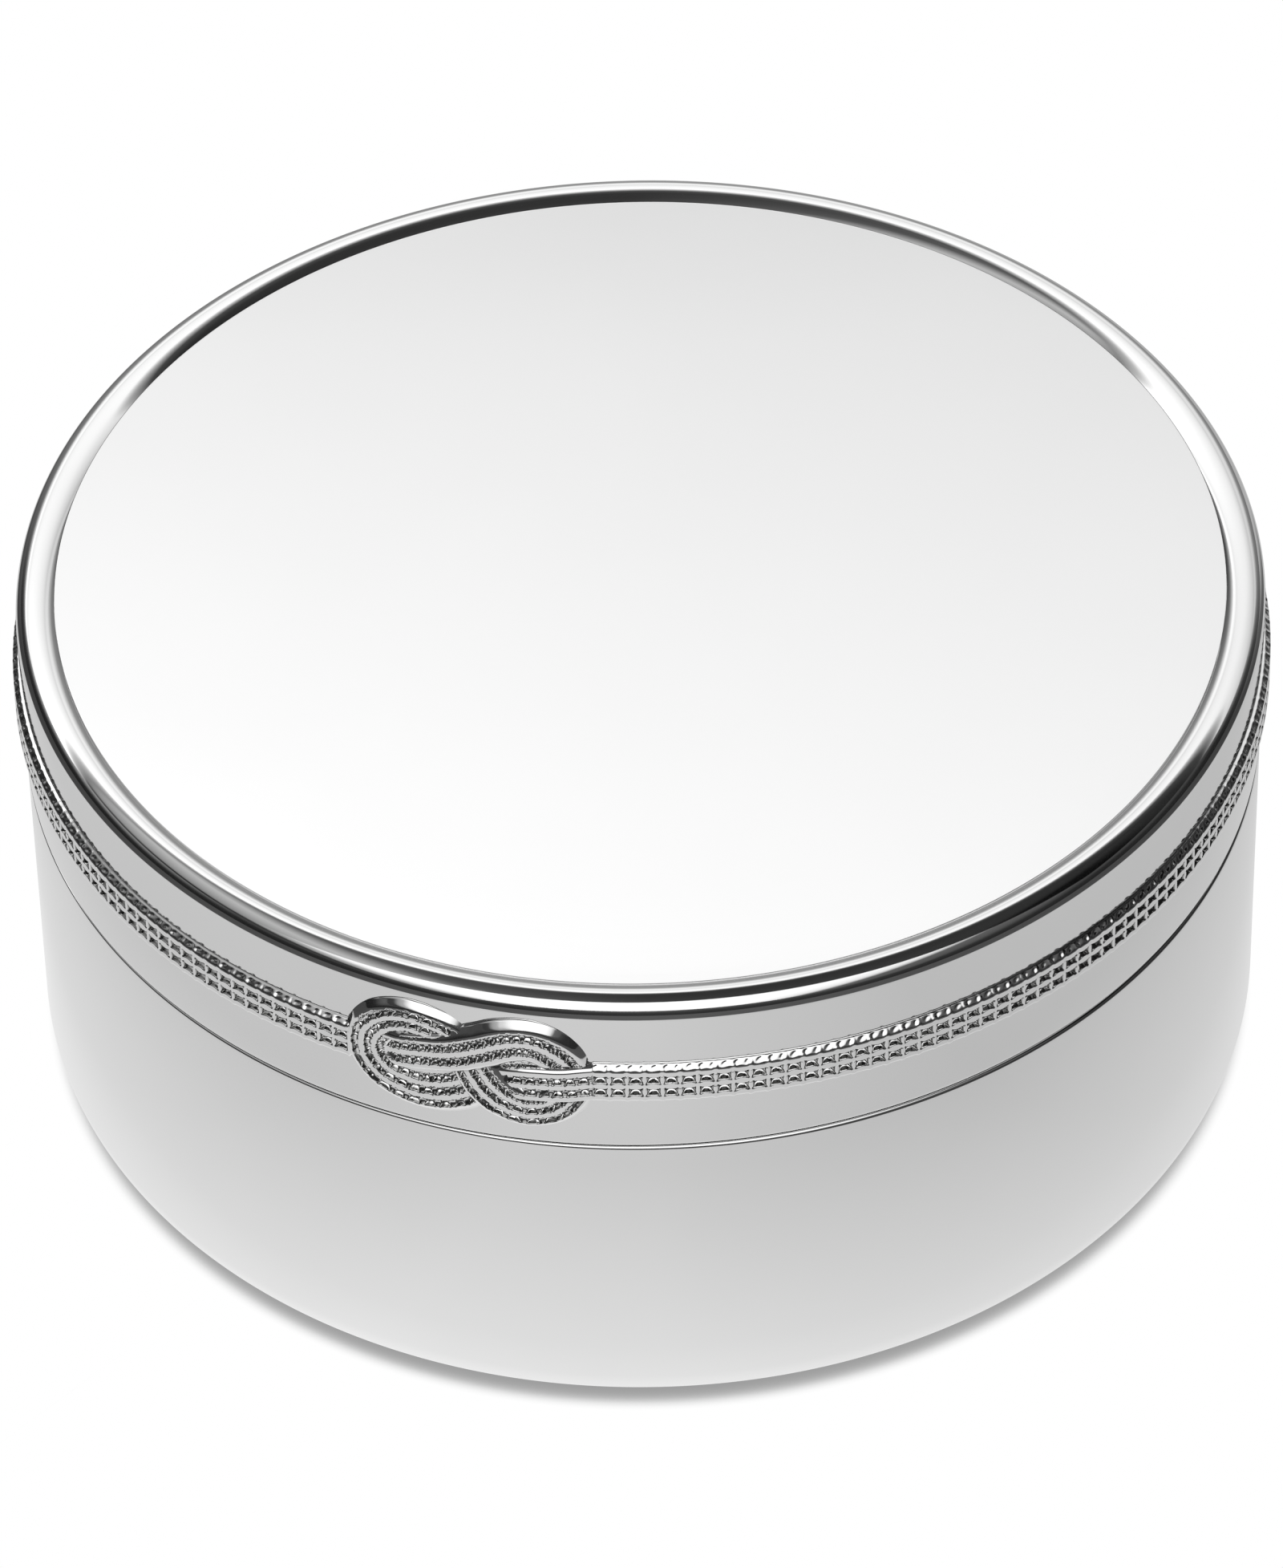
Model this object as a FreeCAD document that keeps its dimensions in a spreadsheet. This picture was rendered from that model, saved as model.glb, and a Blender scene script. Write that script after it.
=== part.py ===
# Round silver-plated keepsake box with a lift-off lid, a rope band and a knot ornament.
# Millimetres, +Z up, origin at the centre of the underside, knot at the front (-Y).
import FreeCAD, Part
import Sketcher
import math
import os

doc = FreeCAD.newDocument("KeepsakeBox")

# Driving dimensions, one aliased cell each.
driving_sizes = [
    ("box_diameter", 127.0, "outside of the base wall and of the lid wall"),
    ("wall_thickness", 1.2, "drawn metal of the lid wall"),
    ("lid_clearance", 0.3, "radial gap between the lid wall and the collar"),
    ("felt_thickness", 0.8, "felt glued under the base"),
    ("felt_margin", 1.5, "bare metal left around the felt"),
    ("base_height", 36.7, "metal underside to the parting edge"),
    ("base_floor_thickness", 1.2, "floor of the base cup"),
    ("base_corner_round", 3.2, "outer rounding between floor and wall"),
    ("base_inner_round", 1.6, "inner rounding between floor and wall"),
    ("parting_round", 0.4, "rounding on both edges of the parting line"),
    ("collar_rise", 7.0, "collar standing above the parting edge"),
    ("collar_seat_depth", 8.0, "collar soldered inside the base wall"),
    ("collar_thickness", 0.8, "strip that the collar is rolled from"),
    ("collar_lead_in", 0.3, "chamfer that guides the lid on"),
    ("lining_thickness", 1.6, "velvet on card around the base wall"),
    ("board_thickness", 1.0, "card under the floor pad"),
    ("board_margin", 0.4, "card kept clear of the inner rounding"),
    ("pad_thickness", 3.0, "floor pad at its middle"),
    ("pad_edge_height", 2.0, "floor pad at its rim"),
    ("pad_clearance", 0.3, "floor pad to the wall lining"),
    ("lid_seat_gap", 0.1, "lid edge over the base edge"),
    ("lid_height", 18.4, "parting edge to the top plate's face"),
    ("rim_width", 3.95, "bead around the top plate"),
    ("rim_round", 2.0, "outer rounding of the bead"),
    ("rim_rise", 0.75, "bead standing above the top plate"),
    ("plate_thickness", 1.0, "mirror-polished top plate"),
    ("plate_clearance", 0.1, "radial gap around the top plate"),
    ("ledge_width", 3.0, "ledge that carries the top plate"),
    ("ledge_thickness", 1.0, "ledge that carries the top plate"),
    ("lid_lining_clearance", 0.6, "lid lining to the lid wall"),
    ("lid_board_thickness", 1.0, "card of the lid lining"),
    ("lid_pad_thickness", 2.0, "lid pad at its middle"),
    ("lid_pad_edge_height", 1.4, "lid pad at its rim"),
    ("cord_width", 1.6, "half-round rope cord along the wall"),
    ("cord_height", 0.75, "half-round rope cord standing off the wall"),
    ("band_rise", 9.1, "parting edge to the middle of the rope band"),
    ("knot_lift", 0.6, "knot centre above the middle of the band"),
    ("knot_end_gap", 0.2, "rope cord ends to the knot"),
    ("strand_round", 2.05, "radius of the knot's rope strands"),
    ("strand_sink", 0.45, "loop centre line behind the lid wall's face"),
    ("lobe_offset", 5.7, "knot centre to each loop's centre"),
    ("left_loop_radius", 4.7, "left loop's centre line"),
    ("right_loop_radius", 4.5, "right loop's centre line"),
    ("crossing_length", 13.8, "strand that crosses between the loops"),
    ("crossing_offset", 2.6, "crossing strand's middle left of the knot centre"),
    ("crossing_lift", 1.1, "crossing strand's middle above the knot centre"),
    ("crossing_slope_angle", 19.0, "degrees, crossing strand rising to the right"),
    ("crossing_proud", 0.15, "crossing strand's centre line off the wall"),
    ("tail_length", 9.6, "band end that runs into the right loop"),
    ("tail_offset", 7.4, "band end's middle right of the knot centre"),
]

# Levels and radii worked out from the driving dimensions.
turn_per_arc = "180 / pi / box_radius"
derived_sizes = [
    ("box_radius", "Sizes.box_diameter / 2"),
    ("metal_bottom", "Sizes.felt_thickness"),
    ("base_flat_radius", "box_radius - Sizes.base_corner_round"),
    ("felt_radius", "base_flat_radius - Sizes.felt_margin"),
    ("base_round_top", "metal_bottom + Sizes.base_corner_round"),
    ("parting_level", "metal_bottom + Sizes.base_height"),
    ("edge_round_radius", "box_radius - Sizes.parting_round"),
    ("base_edge_start", "parting_level - Sizes.parting_round"),
    ("lid_wall_radius", "box_radius - Sizes.wall_thickness"),
    ("collar_radius", "lid_wall_radius - Sizes.lid_clearance"),
    ("base_floor_top", "metal_bottom + Sizes.base_floor_thickness"),
    ("inner_flat_radius", "collar_radius - Sizes.base_inner_round"),
    ("inner_round_top", "base_floor_top + Sizes.base_inner_round"),
    ("collar_bore_radius", "collar_radius - Sizes.collar_thickness"),
    ("collar_bottom", "parting_level - Sizes.collar_seat_depth"),
    ("collar_top", "parting_level + Sizes.collar_rise"),
    ("collar_lead_bottom", "collar_top - Sizes.collar_lead_in"),
    ("collar_lead_radius", "collar_radius - Sizes.collar_lead_in"),
    ("lining_radius", "collar_radius - Sizes.lining_thickness"),
    ("board_radius", "inner_flat_radius - Sizes.board_margin"),
    ("board_top", "base_floor_top + Sizes.board_thickness"),
    ("pad_radius", "lining_radius - Sizes.pad_clearance"),
    ("pad_edge_top", "board_top + Sizes.pad_edge_height"),
    ("pad_top", "board_top + Sizes.pad_thickness"),
    ("lid_bottom", "parting_level + Sizes.lid_seat_gap"),
    ("lid_edge_end", "lid_bottom + Sizes.parting_round"),
    ("plate_level", "parting_level + Sizes.lid_height"),
    ("rim_top", "plate_level + Sizes.rim_rise"),
    ("rim_round_start", "rim_top - Sizes.rim_round"),
    ("rim_crest_radius", "box_radius - Sizes.rim_round"),
    ("plate_seat_radius", "box_radius - Sizes.rim_width"),
    ("plate_radius", "plate_seat_radius - Sizes.plate_clearance"),
    ("ledge_radius", "plate_seat_radius - Sizes.ledge_width"),
    ("ledge_top", "plate_level - Sizes.plate_thickness"),
    ("ledge_bottom", "ledge_top - Sizes.ledge_thickness"),
    ("lid_lining_radius", "lid_wall_radius - Sizes.lid_lining_clearance"),
    ("lid_board_bottom", "ledge_bottom - Sizes.lid_board_thickness"),
    ("lid_pad_edge_bottom", "lid_board_bottom - Sizes.lid_pad_edge_height"),
    ("lid_pad_bottom", "lid_board_bottom - Sizes.lid_pad_thickness"),
    ("cord_round", "((Sizes.cord_width / 2) ^ 2 + Sizes.cord_height ^ 2) / (2 * Sizes.cord_height)"),
    ("cord_centre_radius", "box_radius + Sizes.cord_height - cord_round"),
    ("band_level", "parting_level + Sizes.band_rise"),
    ("cord_level_0", "band_level - 1.5 * Sizes.cord_width"),
    ("cord_level_1", "cord_level_0 + Sizes.cord_width"),
    ("cord_level_2", "cord_level_1 + Sizes.cord_width"),
    ("cord_level_3", "cord_level_2 + Sizes.cord_width"),
    ("knot_level", "band_level + Sizes.knot_lift"),
    ("loop_centre_radius", "box_radius - Sizes.strand_sink"),
    ("lobe_turn", "Sizes.lobe_offset * " + turn_per_arc),
    ("knot_reach", "Sizes.lobe_offset + Sizes.left_loop_radius + Sizes.strand_round"),
    ("knot_half_turn", "(knot_reach + Sizes.knot_end_gap) * " + turn_per_arc),
    ("cord_turn", "360 - 2 * knot_half_turn"),
    ("crossing_turn", "Sizes.crossing_offset * " + turn_per_arc),
    ("crossing_radius", "box_radius + Sizes.crossing_proud"),
    ("crossing_start", "Sizes.crossing_length / 2 * cos(Sizes.crossing_slope_angle * 1 deg)"),
    ("crossing_drop", "Sizes.crossing_length / 2 * sin(Sizes.crossing_slope_angle * 1 deg)"),
    ("crossing_level", "knot_level + Sizes.crossing_lift - crossing_drop"),
    ("tail_turn", "Sizes.tail_offset * " + turn_per_arc),
    ("tail_start", "Sizes.tail_length / 2"),
]

sizes = doc.addObject("Spreadsheet::Sheet", "Sizes")
for row, (alias, number, note) in enumerate(driving_sizes, start=1):
    sizes.set(f"A{row}", alias)
    sizes.set(f"B{row}", str(number))
    sizes.setAlias(f"B{row}", alias)
    sizes.set(f"C{row}", note)
doc.recompute()

levels = doc.addObject("Spreadsheet::Sheet", "Levels")
for row, (alias, formula) in enumerate(derived_sizes, start=1):
    levels.set(f"A{row}", alias)
    levels.set(f"B{row}", "=" + formula)
    levels.setAlias(f"B{row}", alias)
doc.recompute()

parts = []


def level(name):
    return float(levels.get(name))


def origin_plane(body, role):
    for feature in body.Origin.OriginFeatures:
        if feature.Role == role:
            return feature
    raise RuntimeError("no plane " + role)


def bind(sketch, constraint, name):
    index = sketch.addConstraint(constraint)
    sketch.setExpression(f"Constraints[{index}]", "Levels." + name)


def hold_radius(sketch, edge, point, name):
    # A point on the axis is held by the axis; any other takes its radius from the sheet.
    if name == "axis":
        sketch.addConstraint(Sketcher.Constraint("PointOnObject", edge, point, -2))
    else:
        bind(sketch, Sketcher.Constraint("DistanceX", -1, 1, edge, point, level(name)), name)


def corner_point(corner):
    radius = 0 if corner[0] == "axis" else level(corner[0])
    return FreeCAD.Vector(radius, level(corner[1]), 0)


def arc_between(start, end, centre_radius):
    # The centre lies at the given radius, as far from the start as from the end.
    gain = (start.x - centre_radius) ** 2 - (end.x - centre_radius) ** 2 + start.y ** 2 - end.y ** 2
    centre = FreeCAD.Vector(centre_radius, gain / (2 * (start.y - end.y)), 0)
    first = start - centre
    last = end - centre
    forward = first.cross(last).z > 0
    angles = [math.atan2(first.y, first.x), math.atan2(last.y, last.x)]
    if not forward:
        angles.reverse()
    circle = Part.Circle(centre, FreeCAD.Vector(0, 0, 1), first.Length)
    return Part.ArcOfCircle(circle, angles[0], angles[1]), forward


def turned_body(label, corners, turn=None, start_turn=None):
    # Corners are (radius, level), with a third name where an arc leads on: its centre's radius.
    body = doc.addObject("PartDesign::Body", label)
    sketch = body.newObject("Sketcher::SketchObject", label + "_profile")
    sketch.AttachmentSupport = (origin_plane(body, "XZ_Plane"), [""])
    sketch.MapMode = "FlatFace"
    points = [corner_point(corner) for corner in corners]
    ends = []
    for index, corner in enumerate(corners):
        start = points[index]
        end = points[(index + 1) % len(points)]
        forward = True
        if len(corner) == 3:
            centre_radius = 0 if corner[2] == "axis" else level(corner[2])
            edge, forward = arc_between(start, end, centre_radius)
            sketch.addGeometry(edge, False)
        else:
            sketch.addGeometry(Part.LineSegment(start, end), False)
        ends.append((1, 2) if forward else (2, 1))
    for index, corner in enumerate(corners):
        following = (index + 1) % len(corners)
        joined = Sketcher.Constraint("Coincident", index, ends[index][1], following, ends[following][0])
        sketch.addConstraint(joined)
        first = ends[index][0]
        hold_radius(sketch, index, first, corner[0])
        height = Sketcher.Constraint("DistanceY", -1, 1, index, first, level(corner[1]))
        bind(sketch, height, corner[1])
        if len(corner) == 3:
            hold_radius(sketch, index, 3, corner[2])
    turned = body.newObject("PartDesign::Revolution", label + "_turned")
    turned.Profile = sketch
    turned.ReferenceAxis = (sketch, ["V_Axis"])
    turned.Angle = 360
    if turn:
        turned.setExpression("Angle", "Levels." + turn)
    sketch.Visibility = False
    body.Tip = turned
    if start_turn:
        turn_axis = "rotation(vector(0; 0; 1); Levels." + start_turn + " - 90)"
        body.setExpression("Placement", "placement(vector(0; 0; 0); " + turn_axis + ")")
    parts.append(body)
    return body


def disc(label, radius, bottom, thickness):
    plate = doc.addObject("Part::Cylinder", label)
    plate.setExpression("Radius", "Levels." + radius)
    plate.setExpression("Height", "Sizes." + thickness)
    plate.setExpression("Placement.Base.z", bottom)
    parts.append(plate)
    return plate


# Base: felt, drawn cup, collar and velvet lining.
disc("base_felt", "felt_radius", "0", "felt_thickness")

turned_body("base_shell", [
    ("axis", "metal_bottom"),
    ("base_flat_radius", "metal_bottom", "base_flat_radius"),
    ("box_radius", "base_round_top"),
    ("box_radius", "base_edge_start", "edge_round_radius"),
    ("edge_round_radius", "parting_level"),
    ("collar_radius", "parting_level"),
    ("collar_radius", "inner_round_top", "inner_flat_radius"),
    ("inner_flat_radius", "base_floor_top"),
    ("axis", "base_floor_top"),
])

turned_body("base_collar", [
    ("collar_bore_radius", "collar_bottom"),
    ("collar_radius", "collar_bottom"),
    ("collar_radius", "collar_lead_bottom"),
    ("collar_lead_radius", "collar_top"),
    ("collar_bore_radius", "collar_top"),
])

turned_body("base_wall_lining", [
    ("lining_radius", "inner_round_top"),
    ("collar_radius", "inner_round_top"),
    ("collar_radius", "collar_bottom"),
    ("lining_radius", "collar_bottom"),
])

disc("base_floor_board", "board_radius", "Levels.base_floor_top", "board_thickness")

turned_body("base_floor_pad", [
    ("axis", "board_top"),
    ("pad_radius", "board_top"),
    ("pad_radius", "pad_edge_top", "axis"),
    ("axis", "pad_top"),
])

# Lid: skirt with its bead and ledge, top plate and lining.
turned_body("lid_skirt", [
    ("edge_round_radius", "lid_bottom", "edge_round_radius"),
    ("box_radius", "lid_edge_end"),
    ("box_radius", "rim_round_start", "rim_crest_radius"),
    ("rim_crest_radius", "rim_top", "rim_crest_radius"),
    ("plate_seat_radius", "plate_level"),
    ("plate_seat_radius", "ledge_top"),
    ("ledge_radius", "ledge_top"),
    ("ledge_radius", "ledge_bottom"),
    ("lid_wall_radius", "ledge_bottom"),
    ("lid_wall_radius", "lid_bottom"),
])

disc("lid_top_plate", "plate_radius", "Levels.ledge_top", "plate_thickness")
disc("lid_lining_board", "lid_lining_radius", "Levels.lid_board_bottom", "lid_board_thickness")

turned_body("lid_lining_pad", [
    ("axis", "lid_pad_bottom", "axis"),
    ("lid_lining_radius", "lid_pad_edge_bottom"),
    ("lid_lining_radius", "lid_board_bottom"),
    ("axis", "lid_board_bottom"),
])

# Rope band: three half-round cords side by side, open where the knot sits.
for index, label in enumerate(["rope_cord_lower", "rope_cord_middle", "rope_cord_upper"]):
    turned_body(label, [
        ("box_radius", f"cord_level_{index}", "cord_centre_radius"),
        ("box_radius", f"cord_level_{index + 1}"),
    ], turn="cord_turn", start_turn="knot_half_turn")


def on_lid_wall(strand, turn, along, out, up, tilt):
    # The strand's frame is turned round the box, then set off along, out of and up the wall.
    around = "placement(vector(0; 0; 0); rotation(vector(0; 0; 1); " + turn + "))"
    place = "vector(" + along + "; -Levels." + out + "; Levels." + up + ")"
    strand.setExpression("Placement", around + " * placement(" + place + "; " + tilt + ")")


def loop(label, turn, ring_radius):
    ring = doc.addObject("Part::Torus", label)
    ring.setExpression("Radius1", "Sizes." + ring_radius)
    ring.setExpression("Radius2", "Sizes.strand_round")
    on_lid_wall(ring, turn, "0", "loop_centre_radius", "knot_level", "rotation(vector(1; 0; 0); 90)")
    return ring


def strand(label, turn, length, along, out, up, lean):
    bar = doc.addObject("Part::Cylinder", label)
    bar.setExpression("Radius", "Sizes.strand_round")
    bar.setExpression("Height", "Sizes." + length)
    on_lid_wall(bar, turn, "-Levels." + along, out, up, "rotation(vector(0; 1; 0); " + lean + ")")
    return bar


# Knot: two loops, the strand that crosses between them and the band's end, seated on the wall.
left_loop = loop("left_loop", "-Levels.lobe_turn", "left_loop_radius")
right_loop = loop("right_loop", "Levels.lobe_turn", "right_loop_radius")
crossing = strand("crossing", "-Levels.crossing_turn", "crossing_length", "crossing_start",
                  "crossing_radius", "crossing_level", "90 - Sizes.crossing_slope_angle")
tail = strand("tail", "Levels.tail_turn", "tail_length", "tail_start", "box_radius", "band_level", "90")

wall = doc.addObject("Part::Cylinder", "knot_seat")
wall.setExpression("Radius", "Levels.box_radius")
wall.setExpression("Height", "Levels.rim_top")
seated = []
for piece in [left_loop, right_loop, crossing, tail]:
    trimmed = doc.addObject("Part::Cut", piece.Label + "_seated")
    trimmed.Base = piece
    trimmed.Tool = wall
    seated.append(trimmed)
knot = doc.addObject("Part::MultiFuse", "knot_ornament")
knot.Shapes = seated
parts.append(knot)

doc.recompute()
for item in doc.Objects:
    if "Invalid" in item.State or "Error" in item.State:
        raise RuntimeError(f"{item.Label} failed: {item.State}")
for part in parts:
    shape = part.Shape
    if shape.isNull() or not shape.isValid() or len(shape.Solids) != 1:
        raise RuntimeError(f"{part.Label} is not one sound solid")

os.makedirs("parts", exist_ok=True)
for part in parts:
    part.Shape.exportStep(f"parts/{part.Label}.step")
    print(f"{part.Label}: {part.Shape.Volume:.1f} mm3")
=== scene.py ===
import math
import bmesh
import bpy
from mathutils import Matrix, Vector


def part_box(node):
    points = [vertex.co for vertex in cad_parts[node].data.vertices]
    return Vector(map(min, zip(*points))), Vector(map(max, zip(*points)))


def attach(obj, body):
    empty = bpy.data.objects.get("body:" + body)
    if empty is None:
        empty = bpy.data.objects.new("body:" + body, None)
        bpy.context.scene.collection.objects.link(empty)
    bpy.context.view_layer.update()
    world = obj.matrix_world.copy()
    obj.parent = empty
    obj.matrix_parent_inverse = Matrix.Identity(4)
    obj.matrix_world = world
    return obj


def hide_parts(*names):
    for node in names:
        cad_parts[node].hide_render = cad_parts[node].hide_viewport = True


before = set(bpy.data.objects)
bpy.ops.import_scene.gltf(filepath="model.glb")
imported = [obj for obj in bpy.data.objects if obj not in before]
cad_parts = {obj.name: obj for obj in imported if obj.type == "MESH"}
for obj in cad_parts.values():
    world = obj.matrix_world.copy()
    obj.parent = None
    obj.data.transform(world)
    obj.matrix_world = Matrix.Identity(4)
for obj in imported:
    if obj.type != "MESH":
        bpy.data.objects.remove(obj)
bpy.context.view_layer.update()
mm = 0.001
print("frame loaded:", len(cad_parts), "nodes")

# The box's own levels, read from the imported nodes
shellLow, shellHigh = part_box("base_shell")
skirtLow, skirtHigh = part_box("lid_skirt")
plateLow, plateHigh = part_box("lid_top_plate")
collarLow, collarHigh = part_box("base_collar")
liningLow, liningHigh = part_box("base_wall_lining")
wallRadius = shellHigh.x
bandLevel = (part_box("rope_cord_lower")[0].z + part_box("rope_cord_upper")[1].z) / 2
roundTheBox = 2 * math.pi * wallRadius


def newObject(name, data):
    made = bpy.data.objects.new(name, data)
    bpy.context.scene.collection.objects.link(made)
    return made


# Camera
cameraPlace = {
    "distance": 936.3 * mm,  # from the middle of the metal underside
    "elevation": 44.28,  # degrees above the table
    "turn": 16.75,  # degrees round from the knot, to its right
    "pan": -0.02,
    "tilt": 1.157,
    "roll": -1.272,
    "lens": 203.0,
    "film": 36.0,
}


def turnedMatrix(degrees, axis):
    return Matrix.Rotation(math.radians(degrees), 4, axis)


def placeCamera():
    cameraData = bpy.data.cameras.new("photoCamera")
    cameraData.lens = cameraPlace["lens"]
    cameraData.sensor_width = cameraPlace["film"]
    camera = newObject("photoCamera", cameraData)
    aim = turnedMatrix(cameraPlace["turn"], "Z") @ turnedMatrix(90 - cameraPlace["elevation"], "X")
    back = aim @ Vector((0, 0, cameraPlace["distance"]))
    fine = turnedMatrix(-cameraPlace["pan"], "Y") @ turnedMatrix(cameraPlace["tilt"], "X")
    fine = fine @ turnedMatrix(cameraPlace["roll"], "Z")
    camera.matrix_world = Matrix.Translation(back + Vector((0, 0, shellLow.z))) @ aim @ fine
    bpy.context.scene.camera = camera


placeCamera()
print("camera placed")


# Node helpers
def feed(tree, sockets, sources):
    for socket, source in zip(sockets, sources):
        if isinstance(source, (int, float, tuple)):
            socket.default_value = source
        else:
            tree.links.new(source, socket)


def numberField(tree):
    def field(operation, *values):
        node = tree.nodes.new("ShaderNodeMath")
        node.operation = operation
        feed(tree, node.inputs, values)
        return node.outputs[0]
    return field


def softStep(tree, value, low, high):
    node = tree.nodes.new("ShaderNodeMapRange")
    node.interpolation_type = "SMOOTHSTEP"
    sockets = [node.inputs[name] for name in ("Value", "From Min", "From Max")]
    feed(tree, sockets, (value, low, high))
    return node.outputs["Result"]


def bands(tree, value, stops):
    node = tree.nodes.new("ShaderNodeValToRGB")
    node.color_ramp.interpolation = "LINEAR"
    elements = node.color_ramp.elements
    while len(elements) < len(stops):
        elements.new(0.5)
    for element, (position, level) in zip(elements, stops):
        element.position = position
        element.color = (level, level, level, 1)
    tree.links.new(value, node.inputs[0])
    return node.outputs[0]


def spread(tree, value, stops):
    low, high = stops[0][0], stops[-1][0]  # the stops may run over any range of the value
    field = numberField(tree)
    share = field("DIVIDE", field("SUBTRACT", value, low), high - low)
    return bands(tree, share, [((at - low) / (high - low), level) for at, level in stops])


# Studio: white table, and the light and dark surround that polished metal mirrors
studio = {
    "cardHeight": 295 * mm,
    "cardHalfWidth": 0.50,
    "cardNear": -0.55,  # metres from the box's middle, away from the camera
    "cardFar": 0.47,
    "card": [  # metres away from the camera: brightness, with a dark opening over the box
        (-0.55, 1.2), (-0.136, 1.2), (-0.124, 0.045), (0.0, 0.032), (0.08, 0.032), (0.128, 0.07),
        (0.160, 0.50), (0.185, 1.16), (0.267, 1.015), (0.319, 0.915), (0.352, 0.81), (0.362, 0.815),
        (0.385, 0.97), (0.47, 1.0),
    ],
    "cardAcross": [  # metres to the right: share of that brightness
        (-0.5, 1.25), (-0.2, 1.16), (-0.082, 1.075), (0, 1.0), (0.082, 0.93), (0.2, 0.78), (0.35, 0.68),
        (0.5, 0.62),
    ],
    "cardNearAcross": [  # the same, for the half of the card on the camera's side
        (-0.5, 0.03), (-0.40, 0.04), (-0.34, 0.28), (-0.28, 0.38), (-0.22, 0.85), (-0.15, 1.05), (0, 1.0),
        (0.12, 0.95), (0.19, 0.72), (0.25, 0.10), (0.5, 0.06),
    ],
    "cardMiddle": (-0.06, 0.06),  # metres away from the camera, where near gives way to far
    "openingNear": (-0.136, -0.124),  # where the opening over the box begins
    "openingFar": (0.09, 0.16),  # and where it ends
    "openingAcross": [  # light that comes in through the opening, from the left
        (-0.5, 0.02), (-0.42, 0.03), (-0.37, 0.24), (-0.24, 0.36), (-0.16, 0.48), (-0.115, 0.28),
        (-0.075, 0.06), (0, 0.0), (0.5, 0.0),
    ],
    "horizon": [  # degrees round from straight behind the box, to the right: brightness
        (-180, 0.10), (-150, 0.08), (-118, 0.05), (-60, 0.05), (-42, 0.11), (-20, 0.75), (0, 1.0),
        (20, 0.85), (42, 0.52), (54, 0.14), (70, 0.05), (110, 0.06), (180, 0.10),
    ],
    "aboveHorizon": [  # the same, higher up
        (-180, 0.10), (-110, 0.06), (-60, 0.40), (-42, 0.85), (-20, 1.0), (0, 1.0), (20, 0.80),
        (42, 0.63), (54, 0.30), (70, 0.06), (110, 0.06), (180, 0.10),
    ],
    "horizonRise": (0.14, 0.50),  # height over distance, where the one gives way to the other
    "skyline": [(0.0, 0.28), (0.24, 0.38), (0.41, 1.0), (1.0, 1.0)],  # darker close to the table
    "tableNear": [  # metres from the box's middle: brightness that the metal mirrors
        (0.064, 0.92), (0.072, 0.82), (0.098, 0.66), (0.120, 0.68), (0.150, 0.66), (0.2, 0.62),
    ],
    "tableAcross": [  # metres to the right: share of that brightness
        (-0.12, 0.91), (-0.07, 0.905), (-0.032, 0.98), (0, 0.96), (0.046, 0.86), (0.067, 0.81),
        (0.12, 0.82),
    ],
    "tableFar": [  # degrees round, as on the horizon: brightness farther out
        (-180, 0.10), (-56, 0.05), (-40, 0.09), (-20, 0.22), (0, 0.33), (20, 0.42), (44, 0.47),
        (54, 0.12), (70, 0.05), (180, 0.10),
    ],
    "tableTurn": (0.150, 0.165),  # metres from the middle, where near gives way to far
    "tableSize": 6.0,
    "tableDrop": 0.05 * mm,  # keeps the felt from lying in the table
    "shadowReach": 2.4 * mm,
    "shadowSamples": 24,
    "shadow": [  # how open the table lies: brightness that the camera sees
        (0.0, 0.30), (0.40, 0.37), (0.55, 0.52), (0.71, 0.80), (0.87, 0.96), (1.0, 1.0),
    ],
    "softLight": 1.0,
}


def turnedPlace(tree, source):
    turn = tree.nodes.new("ShaderNodeMapping")  # to the right of the camera's line, along it, and up
    turn.inputs["Rotation"].default_value = (0, 0, -math.radians(cameraPlace["turn"]))
    coords = tree.nodes.new("ShaderNodeTexCoord")
    tree.links.new(coords.outputs[source], turn.inputs["Vector"])
    split = tree.nodes.new("ShaderNodeSeparateXYZ")
    tree.links.new(turn.outputs["Vector"], split.inputs[0])
    return split.outputs["X"], split.outputs["Y"], split.outputs["Z"]


def degreesRound(tree, across, along):
    field = numberField(tree)
    return field("DEGREES", field("ARCTAN2", across, along))


def mixed(tree, factor, first, second):
    mix = tree.nodes.new("ShaderNodeMix")
    mix.data_type = "RGBA"
    feed(tree, [mix.inputs[name] for name in ("Factor", "A", "B")], (factor, first, second))
    return mix.outputs["Result"]


def lightWorld():
    world = bpy.data.worlds.new("studio")
    bpy.context.scene.world = world
    world.use_nodes = True
    tree = world.node_tree
    tree.nodes.clear()
    across, along, up = turnedPlace(tree, "Generated")
    direction = degreesRound(tree, across, along)
    low = spread(tree, direction, studio["horizon"])
    high = spread(tree, direction, studio["aboveHorizon"])
    horizon = mixed(tree, softStep(tree, up, *studio["horizonRise"]), low, high)
    path = tree.nodes.new("ShaderNodeLightPath")
    mirrored = tree.nodes.new("ShaderNodeBackground")
    darkened = numberField(tree)("MULTIPLY", horizon, spread(tree, up, studio["skyline"]))
    tree.links.new(darkened, mirrored.inputs["Color"])
    plain = tree.nodes.new("ShaderNodeBackground")
    plain.inputs["Strength"].default_value = studio["softLight"]
    mix = tree.nodes.new("ShaderNodeMixShader")
    feed(tree, mix.inputs, (path.outputs["Is Glossy Ray"], plain.outputs[0], mirrored.outputs[0]))
    output = tree.nodes.new("ShaderNodeOutputWorld")
    tree.links.new(mix.outputs[0], output.inputs["Surface"])


def stagePlane(name, left, right, near, far, height):
    mesh = bpy.data.meshes.new(name)
    mesh.from_pydata(
        [(left, near, height), (right, near, height), (right, far, height), (left, far, height)],
        [],
        [(0, 1, 2, 3)],
    )
    mesh.transform(turnedMatrix(cameraPlace["turn"], "Z"))
    plane = newObject(name, mesh)
    material = bpy.data.materials.new(name)
    material.use_nodes = True
    material.node_tree.nodes.clear()
    mesh.materials.append(material)
    return plane, material.node_tree


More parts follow.
